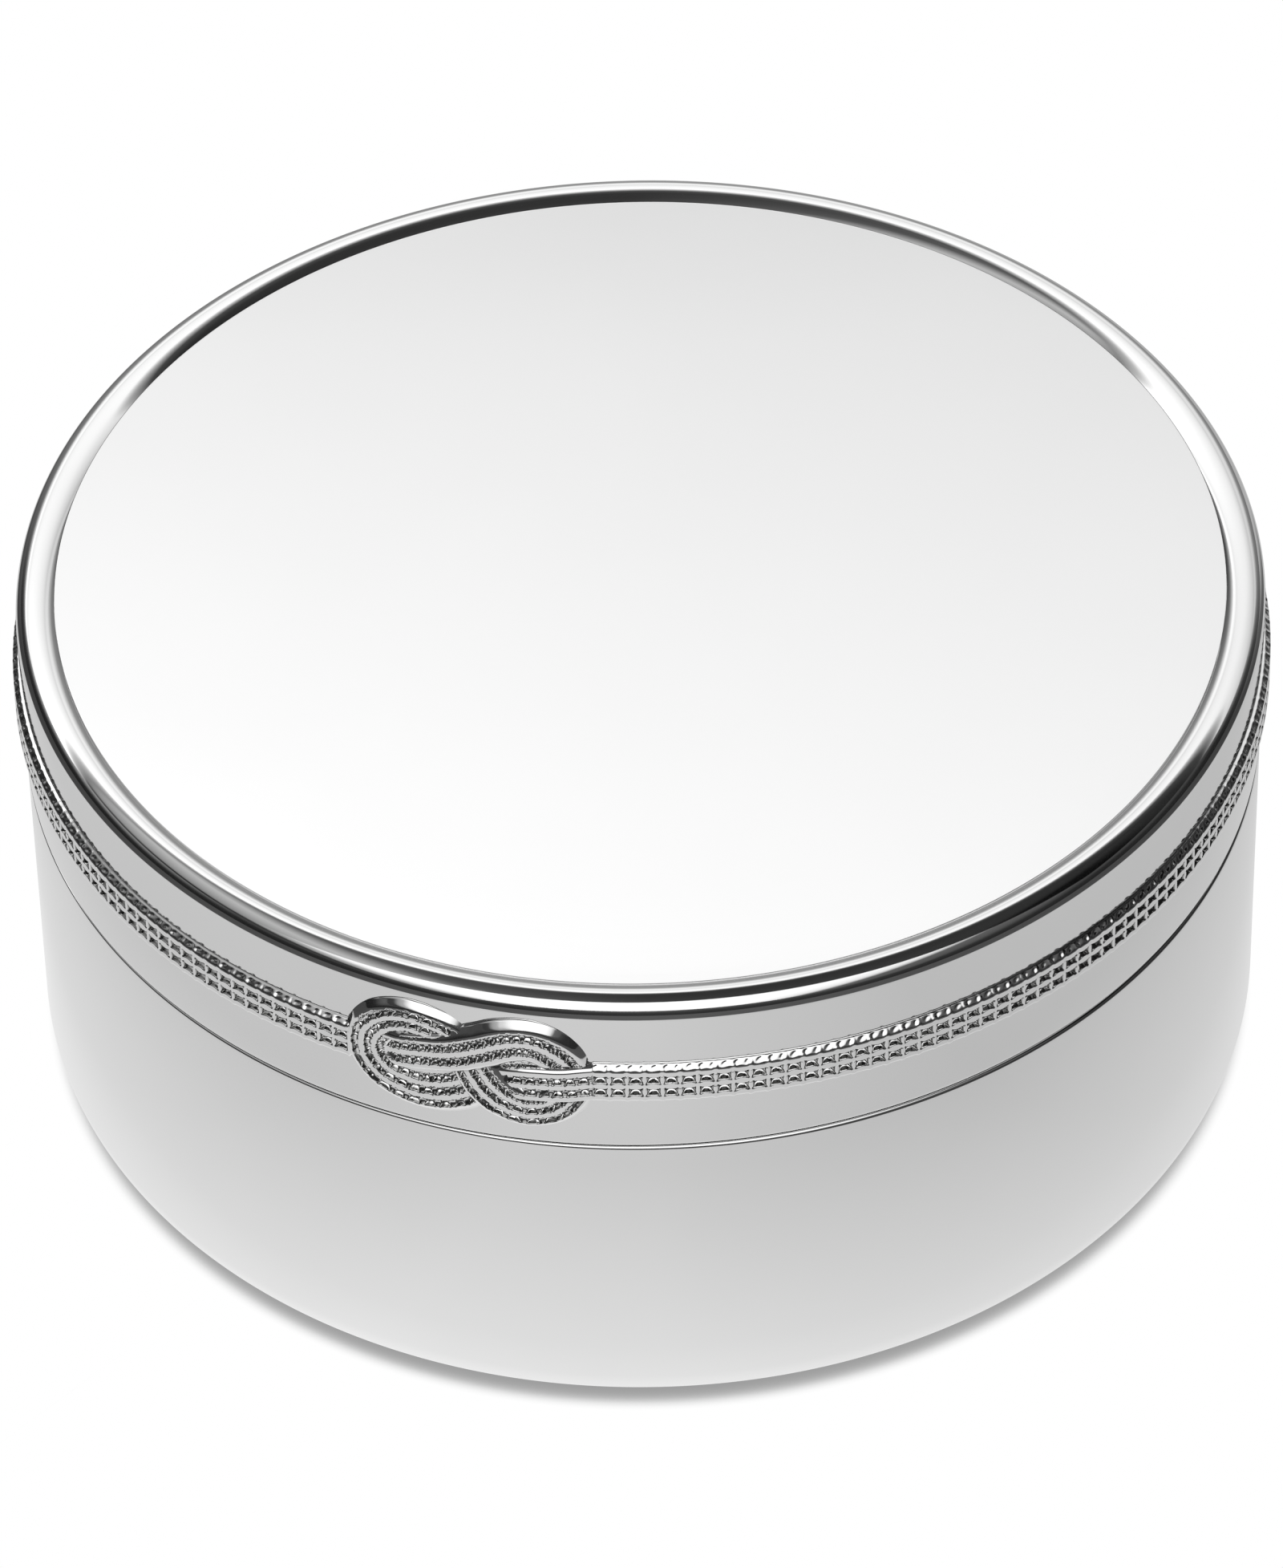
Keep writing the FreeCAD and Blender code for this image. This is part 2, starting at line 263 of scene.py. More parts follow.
def glow(tree, colour):
    light = tree.nodes.new("ShaderNodeEmission")
    tree.links.new(colour, light.inputs["Color"])
    return light.outputs[0]


def showSurface(tree, surface):
    output = tree.nodes.new("ShaderNodeOutputMaterial")
    tree.links.new(surface, output.inputs["Surface"])


def hangCard():
    half = studio["cardHalfWidth"]
    near, far = studio["cardNear"], studio["cardFar"]
    card, tree = stagePlane("overheadCard", -half, half, near, far, studio["cardHeight"])
    card.visible_camera = False  # only mirrored in the metal
    card.visible_diffuse = False
    card.visible_shadow = False
    field = numberField(tree)
    across, along = turnedPlace(tree, "Object")[:2]
    brightness = spread(tree, along, studio["card"])
    farSide = spread(tree, across, studio["cardAcross"])
    nearSide = spread(tree, across, studio["cardNearAcross"])
    side = mixed(tree, softStep(tree, along, *studio["cardMiddle"]), nearSide, farSide)
    opened = softStep(tree, along, *studio["openingNear"])
    closed = softStep(tree, along, *studio["openingFar"])
    fromLeft = spread(tree, across, studio["openingAcross"])
    inOpening = field("MULTIPLY", fromLeft, field("SUBTRACT", opened, closed))
    showSurface(tree, glow(tree, field("ADD", field("MULTIPLY", brightness, side), inOpening)))


def layTable():
    half = studio["tableSize"] / 2
    tree = stagePlane("table", -half, half, -half, half, -studio["tableDrop"])[1]
    field = numberField(tree)
    across, along = turnedPlace(tree, "Object")[:2]
    reach = field("SQRT", field("ADD", field("MULTIPLY", across, across), field("MULTIPLY", along, along)))
    side = spread(tree, across, studio["tableAcross"])
    near = field("MULTIPLY", spread(tree, reach, studio["tableNear"]), side)
    far = spread(tree, degreesRound(tree, across, along), studio["tableFar"])
    mirrored = mixed(tree, softStep(tree, reach, *studio["tableTurn"]), near, far)
    occlusion = tree.nodes.new("ShaderNodeAmbientOcclusion")
    occlusion.samples = studio["shadowSamples"]
    occlusion.inputs["Distance"].default_value = studio["shadowReach"]
    seen = bands(tree, occlusion.outputs["AO"], studio["shadow"])
    path = tree.nodes.new("ShaderNodeLightPath")
    light = glow(tree, mixed(tree, path.outputs["Is Camera Ray"], mirrored, seen))
    fromBelow = tree.nodes.new("ShaderNodeNewGeometry").outputs["Backfacing"]
    clear = tree.nodes.new("ShaderNodeBsdfTransparent").outputs[0]
    seeThrough = tree.nodes.new("ShaderNodeMixShader")  # from below, the table doesn't hide the felt
    feed(tree, seeThrough.inputs, (fromBelow, light, clear))
    showSurface(tree, seeThrough.outputs[0])


bpy.context.scene.view_settings.view_transform = "Standard"
lightWorld()
hangCard()
layTable()
print("studio lit")


# Finishes
def shaderGroup(name, inputs, outputs):
    tree = bpy.data.node_groups.new(name, "ShaderNodeTree")
    for label, value in inputs:
        socket = tree.interface.new_socket(label, in_out="INPUT", socket_type="NodeSocketFloat")
        socket.default_value = value
    for label in outputs:
        tree.interface.new_socket(label, in_out="OUTPUT", socket_type="NodeSocketFloat")
    return tree, tree.nodes.new("NodeGroupInput").outputs, tree.nodes.new("NodeGroupOutput").inputs


def noise(tree, vector, scale, detail=3.0, rough=0.55):
    node = tree.nodes.new("ShaderNodeTexNoise")
    sockets = [node.inputs[name] for name in ("Vector", "Scale", "Detail", "Roughness")]
    feed(tree, sockets, (vector, scale, detail, rough))
    return node.outputs["Fac"]


def polishMarks():
    tree, given, result = shaderGroup(
        "polishMarks",
        [("Line Scale", 2500.0), ("Line Stretch", 0.0006), ("Cloud Scale", 45.0), ("Wave Scale", 70.0)],
        ["Lines", "Cloud", "Wave"],
    )
    field = numberField(tree)
    place = tree.nodes.new("ShaderNodeTexCoord").outputs["Object"]
    split = tree.nodes.new("ShaderNodeSeparateXYZ")
    tree.links.new(place, split.inputs[0])
    x, y, z = split.outputs
    reach = field("SQRT", field("ADD", field("MULTIPLY", x, x), field("MULTIPLY", y, y)))
    alongLines = field("MULTIPLY", field("ARCTAN2", y, x), given["Line Stretch"])
    turned = tree.nodes.new("ShaderNodeCombineXYZ")  # buffing lines run round the box
    feed(tree, turned.inputs, (reach, z, alongLines))
    tree.links.new(noise(tree, turned.outputs[0], given["Line Scale"], 2.0), result["Lines"])
    tree.links.new(noise(tree, place, given["Cloud Scale"]), result["Cloud"])
    tree.links.new(noise(tree, place, given["Wave Scale"], 1.0), result["Wave"])
    return tree


def clothPile():
    tree, given, result = shaderGroup(
        "clothPile",
        [("Pile Scale", 5200.0), ("Brushed Scale", 70.0)],
        ["Pile", "Brushed"],
    )
    place = tree.nodes.new("ShaderNodeTexCoord").outputs["Object"]
    tree.links.new(noise(tree, place, given["Pile Scale"], 2.0, 0.7), result["Pile"])
    tree.links.new(noise(tree, place, given["Brushed Scale"], 4.0), result["Brushed"])
    return tree


polishGroup = polishMarks()
pileGroup = clothPile()


def placedGroup(tree, group, sizes):
    node = tree.nodes.new("ShaderNodeGroup")
    node.node_tree = group
    for label, value in sizes.items():
        node.inputs[label].default_value = value
    return node.outputs


def colourMix(tree, factor, low, high):
    return mixed(tree, factor, (*low, 1), (*high, 1))


def bump(tree, height, distance, strength=1.0):
    node = tree.nodes.new("ShaderNodeBump")
    node.inputs["Strength"].default_value = strength
    node.inputs["Distance"].default_value = distance
    tree.links.new(height, node.inputs["Height"])
    return node.outputs["Normal"]


def newFinish(name):
    material = bpy.data.materials.new(name)
    material.use_nodes = True
    tree = material.node_tree
    return material, tree, tree.nodes["Principled BSDF"].inputs


def silverFinish(name, look):
    material, tree, shader = newFinish(name)
    field = numberField(tree)
    marks = placedGroup(tree, polishGroup, look["marks"])
    shader["Metallic"].default_value = look["metal"]
    colour = colourMix(tree, marks["Cloud"], *look["colours"])
    # painted shade: the colour is darkened on the walls of the rope's pits, standing in for their shade
    if "pitShade" in look:
        recess = tree.nodes.new("ShaderNodeAttribute")  # how deep the rope is cut at each point
        recess.attribute_name = "recess"
        cut = recess.outputs["Fac"]
        onWalls = softStep(tree, cut, *look["shadeBegins"])
        onWalls = field("SUBTRACT", onWalls, softStep(tree, cut, *look["shadeEnds"]))
        colour = mixed(tree, onWalls, colour, (*look["pitShade"], 1))
    tree.links.new(colour, shader["Base Color"])
    lined = field("MULTIPLY", softStep(tree, marks["Lines"], *look["lineEdges"]), look["lineRoughness"])
    clouded = field("MULTIPLY", marks["Cloud"], look["cloudRoughness"])
    tree.links.new(field("ADD", field("ADD", lined, clouded), look["roughness"]), shader["Roughness"])
    tree.links.new(bump(tree, marks["Wave"], look["wave"]), shader["Normal"])
    return material


polishedLook = {
    "colours": ((0.885, 0.885, 0.885), (0.915, 0.915, 0.913)),
    "metal": 1.0,
    "roughness": 0.045,
    "lineEdges": (0.45, 0.75),
    "lineRoughness": 0.02,
    "cloudRoughness": 0.04,
    "wave": 0.010 * mm,
    "marks": {"Line Scale": 2500.0, "Cloud Scale": 45.0, "Wave Scale": 70.0},
}
mirrorLook = {
    **polishedLook,
    "colours": ((0.89, 0.89, 0.89), (0.915, 0.915, 0.915)),
    "metal": 0.86,  # a fine haze of wear scatters the rest
    "roughness": 0.03,
    "lineRoughness": 0.015,
    "cloudRoughness": 0.05,
    "wave": 0.004 * mm,
    "marks": {"Line Scale": 1600.0, "Cloud Scale": 38.0, "Wave Scale": 40.0},
}
ropeLook = {  # painted shade on the walls of the pits, none above them or on their floors
    **polishedLook,
    "pitShade": (0.28, 0.28, 0.275),
    "shadeBegins": (0.02, 0.20),
    "shadeEnds": (0.42, 0.66),
}
velvetLook = {
    "shade": (0.006, 0.009, 0.030),
    "light": (0.022, 0.030, 0.085),
    "pileDepth": 0.20 * mm,
    "sheen": 0.8,
    "sheenTint": (0.35, 0.42, 0.75, 1),
    "marks": {"Pile Scale": 5200.0, "Brushed Scale": 75.0},
}
feltLook = {
    "shade": (0.012, 0.012, 0.014),
    "light": (0.045, 0.045, 0.050),
    "pileDepth": 0.25 * mm,
    "sheen": 0.25,
    "sheenTint": (0.8, 0.8, 0.8, 1),
    "marks": {"Pile Scale": 2600.0, "Brushed Scale": 160.0},
}
clothNap = {
    "pileShare": 0.55,
    "brushedShare": 0.45,
    "edges": (0.32, 0.68),  # where the shade turns into the light colour
    "smoothed": 0.2,  # roughness lost where the nap is brushed
    "bump": 0.8,
    "sheenRoughness": 0.35,
    "specular": 0.15,
}
cardLook = {
    "shade": (0.36, 0.34, 0.31),
    "light": (0.50, 0.48, 0.45),
    "edges": (0.35, 0.7),
    "fleck": 900.0,
    "fleckDetail": 5.0,
    "fleckRough": 0.65,
    "depth": 0.05 * mm,
    "roughness": 0.9,
}


def clothFinish(name, look):
    material, tree, shader = newFinish(name)
    field = numberField(tree)
    marks = placedGroup(tree, pileGroup, look["marks"])
    pile = field("MULTIPLY", marks["Pile"], clothNap["pileShare"])
    nap = field("ADD", pile, field("MULTIPLY", marks["Brushed"], clothNap["brushedShare"]))
    colour = colourMix(tree, softStep(tree, nap, *clothNap["edges"]), look["shade"], look["light"])
    tree.links.new(colour, shader["Base Color"])
    smoothed = field("MULTIPLY", marks["Brushed"], clothNap["smoothed"])
    tree.links.new(field("SUBTRACT", 1.0, smoothed), shader["Roughness"])
    tree.links.new(bump(tree, nap, look["pileDepth"], clothNap["bump"]), shader["Normal"])
    shader["Sheen Weight"].default_value = look["sheen"]
    shader["Sheen Roughness"].default_value = clothNap["sheenRoughness"]
    shader["Sheen Tint"].default_value = look["sheenTint"]
    shader["Specular IOR Level"].default_value = clothNap["specular"]
    return material


def cardFinish():
    material, tree, shader = newFinish("pressedCard")
    place = tree.nodes.new("ShaderNodeTexCoord").outputs["Object"]
    fleck = noise(tree, place, cardLook["fleck"], cardLook["fleckDetail"], cardLook["fleckRough"])
    flecked = softStep(tree, fleck, *cardLook["edges"])
    tree.links.new(colourMix(tree, flecked, cardLook["shade"], cardLook["light"]), shader["Base Color"])
    tree.links.new(bump(tree, fleck, cardLook["depth"]), shader["Normal"])
    shader["Roughness"].default_value = cardLook["roughness"]
    return material


polishedSilver = silverFinish("polishedSilver", polishedLook)
ropeSilver = silverFinish("ropeSilver", ropeLook)
mirrorTop = silverFinish("mirrorTop", mirrorLook)
navyVelvet = clothFinish("navyVelvet", velvetLook)
blackFelt = clothFinish("blackFelt", feltLook)
pressedCard = cardFinish()
print("finishes made")


# Turned metal
def arc(centreRadius, centreHeight, size, fromDegrees, toDegrees, steps=14):
    points = []
    for step in range(steps + 1):
        angle = math.radians(fromDegrees + (toDegrees - fromDegrees) * step / steps)
        points.append((centreRadius + size * math.cos(angle), centreHeight + size * math.sin(angle)))
    return points


def withSupports(outline, closed, near=0.12 * mm):
    points = []  # long straight runs get a ring close to each end, which keeps the reflections straight
    count = len(outline)
    for index, start in enumerate(outline):
        points.append(start)
        if index == count - 1 and not closed:
            break
        end = outline[(index + 1) % count]
        length = math.dist(start, end)
        if length > 6 * near:
            for share in (near / length, 1 - near / length):
                points.append(tuple(a + (b - a) * share for a, b in zip(start, end)))
    return points


def turnedMesh(name, outline, closed=True, sectors=320, ease=None, crease=32):
    outline = withSupports(outline, closed)
    bm = bmesh.new()
    rings = []
    for radius, height in outline:
        if radius < 1e-9:
            rings.append([bm.verts.new((0, 0, height))] * sectors)
            continue
        ring = []
        for sector in range(sectors):
            angle = 2 * math.pi * sector / sectors
            reach = radius if ease is None else ease(radius, height, angle)
            ring.append(bm.verts.new((reach * math.cos(angle), reach * math.sin(angle), height)))
        rings.append(ring)
    pairs = list(zip(rings, rings[1:]))
    if closed:
        pairs.append((rings[-1], rings[0]))
    for first, second in pairs:
        for sector in range(sectors):
            following = (sector + 1) % sectors
            corners = [first[sector], first[following], second[following], second[sector]]
            bm.faces.new(list(dict.fromkeys(corners)))  # three corners at the middle of a disc
    bmesh.ops.recalc_face_normals(bm, faces=bm.faces)
    mesh = bpy.data.meshes.new(name)
    bm.to_mesh(mesh)
    bm.free()
    mesh.shade_smooth()
    mesh.set_sharp_from_angle(angle=math.radians(crease))
    return mesh


def addPiece(name, mesh, body, nodes, material):
    piece = newObject(name, mesh)
    if not mesh.materials:
        mesh.materials.append(material)
    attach(piece, body)
    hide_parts(*nodes)
    return piece


baseCup = {
    "cornerRound": 3.9 * mm,
    "innerRound": 1.6 * mm,
    "edgeRound": 0.58 * mm,
    "floor": 1.2 * mm,
    "partingGap": 0.10 * mm,
}
baseCollar = {"leadIn": 0.3 * mm, "thickness": 0.8 * mm}
lidSkirt = {
    "edgeRound": 0.55 * mm,
    "wall": 1.2 * mm,
    "rimRound": 2.0 * mm,
    "rimRise": 0.75 * mm,
    "rimWidth": 3.95 * mm,
    "ledge": 3.0 * mm,
    "ledgeThickness": 1.0 * mm,
}
topPlate = {"edgeRound": 0.04 * mm, "closeFit": 0.08 * mm}
partingLine = {  # fitted: close on the left, open on the right
    "middle": 0.65,  # share of the edge rounds in the middle
    "tilt": 0.34,  # and how much it grows to the right
    "taken": 1.01,  # sizes of the round, within which the points of the edge lie
}


def crispEdge(mesh, level, size):
    turn = math.radians(cameraPlace["turn"])
    taken = partingLine["taken"] * size
    for vert in mesh.vertices:
        reach = math.hypot(vert.co.x, vert.co.y)
        inset, away = wallRadius - reach, vert.co.z - level
        if inset < taken and abs(away) < taken:
            right = (vert.co.x * math.cos(turn) + vert.co.y * math.sin(turn)) / reach
            share = partingLine["middle"] + partingLine["tilt"] * right
            closer = (wallRadius - inset * share) / reach
            vert.co = (vert.co.x * closer, vert.co.y * closer, level + away * share)


def makeBaseCup():
    low, high, inner = shellLow.z, shellHigh.z - baseCup["partingGap"], collarHigh.x
    corner, edge, inside = baseCup["cornerRound"], baseCup["edgeRound"], baseCup["innerRound"]
    floor = low + baseCup["floor"]
    outline = [(0, low)]
    outline += arc(wallRadius - corner, low + corner, corner, -90, 0, 24)
    outline += arc(wallRadius - edge, high - edge, edge, 0, 90, 10)
    outline += [(inner, high)]
    outline += arc(inner - inside, floor + inside, inside, 0, -90)
    outline += [(0, floor)]
    mesh = turnedMesh("base_shell_turned", outline, closed=False)
    crispEdge(mesh, high, edge)
    addPiece("base_shell_turned", mesh, "base", ["base_shell"], polishedSilver)


def makeCollar():
    low, high, outer = collarLow.z, collarHigh.z, collarHigh.x
    bore, lead = outer - baseCollar["thickness"], baseCollar["leadIn"]
    outline = [(bore, low), (outer, low)]
    outline += arc(outer - lead, high - lead, lead, 0, 90, 6)
    outline += arc(bore + lead, high - lead, lead, 90, 180, 6)
    mesh = turnedMesh("base_collar_turned", outline)
    addPiece("base_collar_turned", mesh, "base", ["base_collar"], polishedSilver)


def makeLidSkirt():
    low, high = skirtLow.z, skirtHigh.z
    edge, bead = lidSkirt["edgeRound"], lidSkirt["rimRound"]
    crest = wallRadius - bead
    seat = wallRadius - lidSkirt["rimWidth"]
    rise = lidSkirt["rimRise"]
    reach = crest - seat
    hollow = (reach * reach + rise * rise) / (2 * rise)  # inner arc from the crest down to the plate
    slope = math.degrees(math.asin(reach / hollow))
    inner = wallRadius - lidSkirt["wall"]
    ledgeTop = plateLow.z
    ledgeLow = ledgeTop - lidSkirt["ledgeThickness"]
    ledgeEdge = seat - lidSkirt["ledge"]
    outline = [(inner, low)]
    outline += arc(wallRadius - edge, low + edge, edge, -90, 0, 10)
    outline += arc(crest, high - bead, bead, 0, 90, 28)
    outline += arc(crest, high - hollow, hollow, 90, 90 + slope, 18)[1:]
    outline += [(seat, ledgeTop), (ledgeEdge, ledgeTop), (ledgeEdge, ledgeLow), (inner, ledgeLow)]
    mesh = turnedMesh("lid_skirt_turned", outline)
    crispEdge(mesh, low, edge)
    addPiece("lid_skirt_turned", mesh, "lid", ["lid_skirt"], polishedSilver)


def makeTopPlate():
    low, high, radius = plateLow.z, plateHigh.z, plateHigh.x + topPlate["closeFit"]
    edge = topPlate["edgeRound"]
    outline = [(0, low), (radius, low)]
    outline += arc(radius - edge, high - edge, edge, 0, 90, 6)
    outline += [(0, high)]
    mesh = turnedMesh("lid_top_plate_turned", outline, closed=False)
    addPiece("lid_top_plate_turned", mesh, "lid", ["lid_top_plate"], mirrorTop)


makeBaseCup()
makeCollar()
makeLidSkirt()
makeTopPlate()
print("turned metal made")


# Rope trim: a path drawn flat on the unrolled wall (along, up, lift) is sampled by a grid,
# which is cut to the pattern and wrapped round the box
ropeCut = {
    "overrun": 1.03,  # sends the outermost grid lines down the edge
    "edge": 0.9999,  # share of the half width where the edge begins
    "tabs": (0.62, 0.9),  # how the flat face widens at each bar
    "flankFull": 0.90,  # share of the half width where the twisted flank is deepest
    "flankEnd": (0.89, 0.98),  # and where it runs out
    "grainScale": 2600,
    "merge": 0.002 * mm,
}
ropeSizes = [
    "Wall Radius", "Half Width", "Rise", "Sink", "Flat Share", "Edge Share", "Corner Round",
    "Rows", "Row Spacing", "Row Shift", "Pitch", "Pit Depth", "Pit Length", "Pit Width", "Pit Points",
    "Pit Slope", "Grain", "Crowding", "Groove Share", "Tab Share", "Flank Groove", "Flank Lays",
    "Flank Twist", "End Taper",
]
ropeInputs = [(name, "NodeSocketFloat") for name in ropeSizes]
ropeInputs += [(name, "NodeSocketInt") for name in ("Steps Along", "Steps Across")]
ropeInputs += [("Finish", "NodeSocketMaterial")]


def ropeTree():
    tree = bpy.data.node_groups.new("ropeOnWall", "GeometryNodeTree")
    tree.interface.new_socket("Path", in_out="INPUT", socket_type="NodeSocketGeometry")
    for name, kind in ropeInputs:
        tree.interface.new_socket(name, in_out="INPUT", socket_type=kind)
    tree.interface.new_socket("Rope", in_out="OUTPUT", socket_type="NodeSocketGeometry")
    given = tree.nodes.new("NodeGroupInput").outputs
    result = tree.nodes.new("NodeGroupOutput").inputs
    field = numberField(tree)
    link = tree.links.new

    def node(kind, **links):
        made = tree.nodes.new(kind)
        for name, source in links.items():
            link(source, made.inputs[name.replace("_", " ")])
        return made

    def times(first, *others):
        for other in others:
            first = field("MULTIPLY", first, other)
        return first

    upper = node("GeometryNodeMeshGrid", Vertices_X=given["Steps Along"], Vertices_Y=given["Steps Across"])
    under = node("GeometryNodeMeshGrid", Vertices_X=given["Steps Along"])
    under.inputs["Vertices Y"].default_value = 2
    for grid in (upper, under):
        grid.inputs["Size X"].default_value = 1
        grid.inputs["Size Y"].default_value = 1
    turnedUnder = node("GeometryNodeFlipFaces", Mesh=under.outputs["Mesh"])
    both = tree.nodes.new("GeometryNodeJoinGeometry")
    link(turnedUnder.outputs[0], both.inputs[0])
    link(upper.outputs["Mesh"], both.inputs[0])

    place = node("ShaderNodeSeparateXYZ", Vector=tree.nodes.new("GeometryNodeInputPosition").outputs[0])

    def crowded(count):  # brings the grid lines together on the walls of the pits
        wave = field("SINE", times(field("SUBTRACT", count, 0.5), 4 * math.pi))
        return field("ADD", count, times(wave, given["Crowding"], 0.25 / math.pi))

    length = node("GeometryNodeCurveLength", Curve=given["Path"]).outputs[0]
    evenAlong = times(field("ADD", place.outputs["X"], 0.5), length)
    layPlace = crowded(field("DIVIDE", evenAlong, given["Pitch"]))
    along = times(layPlace, given["Pitch"])
    share = field("DIVIDE", along, length)
    sample = tree.nodes.new("GeometryNodeSampleCurve")
    sample.mode = "FACTOR"
    link(given["Path"], sample.inputs["Curves"])
    link(tree.nodes.new("GeometryNodeInputRadius").outputs[0], sample.inputs["Value"])
    link(share, sample.inputs["Factor"])
    width = sample.outputs["Value"]

    # Where a point lies among the rows and along the lay: 0 in the middle of a pit, 1 on a ridge or a bar
    halfGrid = field("MULTIPLY", place.outputs["Y"], 2)
    outward = field("MINIMUM", field("MULTIPLY", field("ABSOLUTE", halfGrid), ropeCut["overrun"]), 1)
    evenOffset = times(field("SIGN", halfGrid), outward, given["Half Width"], width)
    spacing = field("MULTIPLY", given["Row Spacing"], width)
    halfRows = field("DIVIDE", given["Rows"], 2)
    shift = times(given["Row Shift"], width)
    evenRows = field("ADD", field("DIVIDE", field("SUBTRACT", evenOffset, shift), spacing), halfRows)
    pastFirst = field("GREATER_THAN", evenRows, 0)
    amongRows = field("MULTIPLY", pastFirst, field("LESS_THAN", evenRows, given["Rows"]))
    moveIn = field("SUBTRACT", crowded(evenRows), evenRows)
    rowPlace = field("ADD", evenRows, times(moveIn, amongRows))
    fromRows = times(field("SUBTRACT", rowPlace, halfRows), spacing)
    offset = field("ADD", fromRows, shift)
    toRidge = field("ABSOLUTE", field("SUBTRACT", field("MULTIPLY", field("FRACT", rowPlace), 2), 1))
    toBar = field("ABSOLUTE", field("SUBTRACT", field("MULTIPLY", field("FRACT", layPlace), 2), 1))
    inRows = field("LESS_THAN", field("ABSOLUTE", fromRows), field("MULTIPLY", spacing, halfRows))

    # Flat face with sloping flanks, which end in a small step on the wall
    tabs = times(given["Tab Share"], softStep(tree, toBar, *ropeCut["tabs"]))
    flat = field("ADD", given["Flat Share"], tabs)
    past = field("DIVIDE", field("SUBTRACT", outward, flat), field("SUBTRACT", 1, flat))
    flank = field("SUBTRACT", 1, field("MULTIPLY", past, field("SUBTRACT", 1, given["Edge Share"])))
    onTop = field("LESS_THAN", outward, ropeCut["edge"])
    crown = field("MULTIPLY", field("SMOOTH_MIN", 1, flank, given["Corner Round"]), onTop)

    # Four-pointed pits between the ridges, joined by a shallower groove in the knot
    lengthways = field("ADD", given["Pit Length"], times(toRidge, toRidge, given["Pit Points"]))
    widthways = field("ADD", given["Pit Width"], times(toBar, toBar, given["Pit Points"]))
    inside = field("MINIMUM", field("SUBTRACT", lengthways, toBar), field("SUBTRACT", widthways, toRidge))
    grainPlace = node("ShaderNodeCombineXYZ", X=along, Y=fromRows)
    grain = node("ShaderNodeTexNoise", Vector=grainPlace.outputs[0])
    grain.inputs["Scale"].default_value = ropeCut["grainScale"]
    grain.inputs["Detail"].default_value = 1
    uneven = times(field("SUBTRACT", grain.outputs[0], 0.5), given["Grain"])
    groove = field("SUBTRACT", given["Pit Width"], toRidge)

    def bowl(depthwise):
        share = field("DIVIDE", field("ADD", depthwise, uneven), given["Pit Slope"])
        left = field("SUBTRACT", 1, field("MINIMUM", field("MAXIMUM", share, 0), 1))
        return field("SUBTRACT", 1, times(left, left))

    rowCut = field("MAXIMUM", bowl(inside), field("MULTIPLY", bowl(groove), given["Groove Share"]))

    # Twisted lays on the flanks, outside the rows
    lean = times(field("MAXIMUM", past, 0), given["Flank Twist"])
    twisted = field("ADD", times(layPlace, given["Flank Lays"]), lean)
    toGroove = field("ABSOLUTE", field("SUBTRACT", field("MULTIPLY", field("FRACT", twisted), 2), 1))
    flankCut = times(toGroove, toGroove, given["Flank Groove"], field("SUBTRACT", 1, inRows))
    ranOut = softStep(tree, outward, *ropeCut["flankEnd"])
    onFlank = field("SUBTRACT", softStep(tree, outward, flat, ropeCut["flankFull"]), ranOut)
    flankCut = field("MULTIPLY", flankCut, onFlank)
    cut = field("ADD", times(rowCut, given["Pit Depth"], inRows), flankCut)

    fromEnd = field("MINIMUM", along, field("SUBTRACT", length, along))
    taper = field("MINIMUM", field("DIVIDE", fromEnd, given["End Taper"]), 1)
    ends = field("SQRT", field("MAXIMUM", field("SUBTRACT", times(taper, 2), times(taper, taper)), 0))
    height = field("MAXIMUM", field("SUBTRACT", times(given["Rise"], crown, ends), times(cut, crown)), 0)

    spot = node("ShaderNodeSeparateXYZ", Vector=sample.outputs["Position"])
    heading = node("ShaderNodeSeparateXYZ", Vector=sample.outputs["Tangent"])
    tx, ty = heading.outputs["X"], heading.outputs["Y"]
    norm = field("SQRT", field("ADD", times(tx, tx), times(ty, ty)))
    sideX = field("DIVIDE", times(ty, -1), norm)
    sideY = field("DIVIDE", tx, norm)
    around = field("ADD", spot.outputs["X"], times(sideX, offset))
    level = field("ADD", spot.outputs["Y"], times(sideY, offset))
    lift = field("SUBTRACT", spot.outputs["Z"], given["Sink"])
    radius = field("ADD", given["Wall Radius"], field("ADD", lift, height))
    angle = field("DIVIDE", around, given["Wall Radius"])
    wrapped = tree.nodes.new("ShaderNodeCombineXYZ")
    outX, outY = times(radius, field("SINE", angle)), times(radius, field("COSINE", angle), -1)
    feed(tree, wrapped.inputs, (outX, outY, level))

    recess = field("MULTIPLY", rowCut, inRows)  # kept for the painted shade in the pits, before the points move
    kept = node("GeometryNodeStoreNamedAttribute", Geometry=both.outputs[0], Value=recess)
    kept.inputs["Name"].default_value = "recess"
    moved = node("GeometryNodeSetPosition", Geometry=kept.outputs[0], Position=wrapped.outputs[0])
    merged = node("GeometryNodeMergeByDistance", Geometry=moved.outputs[0])
    merged.inputs["Distance"].default_value = ropeCut["merge"]
    smooth = node("GeometryNodeSetShadeSmooth", Geometry=merged.outputs[0])
    real = node("GeometryNodeRealizeInstances", Geometry=smooth.outputs[0])
    finished = node("GeometryNodeSetMaterial", Geometry=real.outputs[0], Material=given["Finish"])
    link(finished.outputs[0], result["Rope"])
    return tree


ropeOnWall = ropeTree()


def flatPath(name, points):
    data = bpy.data.curves.new(name, "CURVE")
    data.dimensions = "3D"
    data.resolution_u = 24
    spline = data.splines.new("BEZIER")
    spline.bezier_points.add(len(points) - 1)
    for point, (along, up, lift, width) in zip(spline.bezier_points, points):
        point.co = (along * mm, up * mm, lift * mm)
        point.handle_left_type = "AUTO"
        point.handle_right_type = "AUTO"
        point.radius = width
    return newObject(name, data)


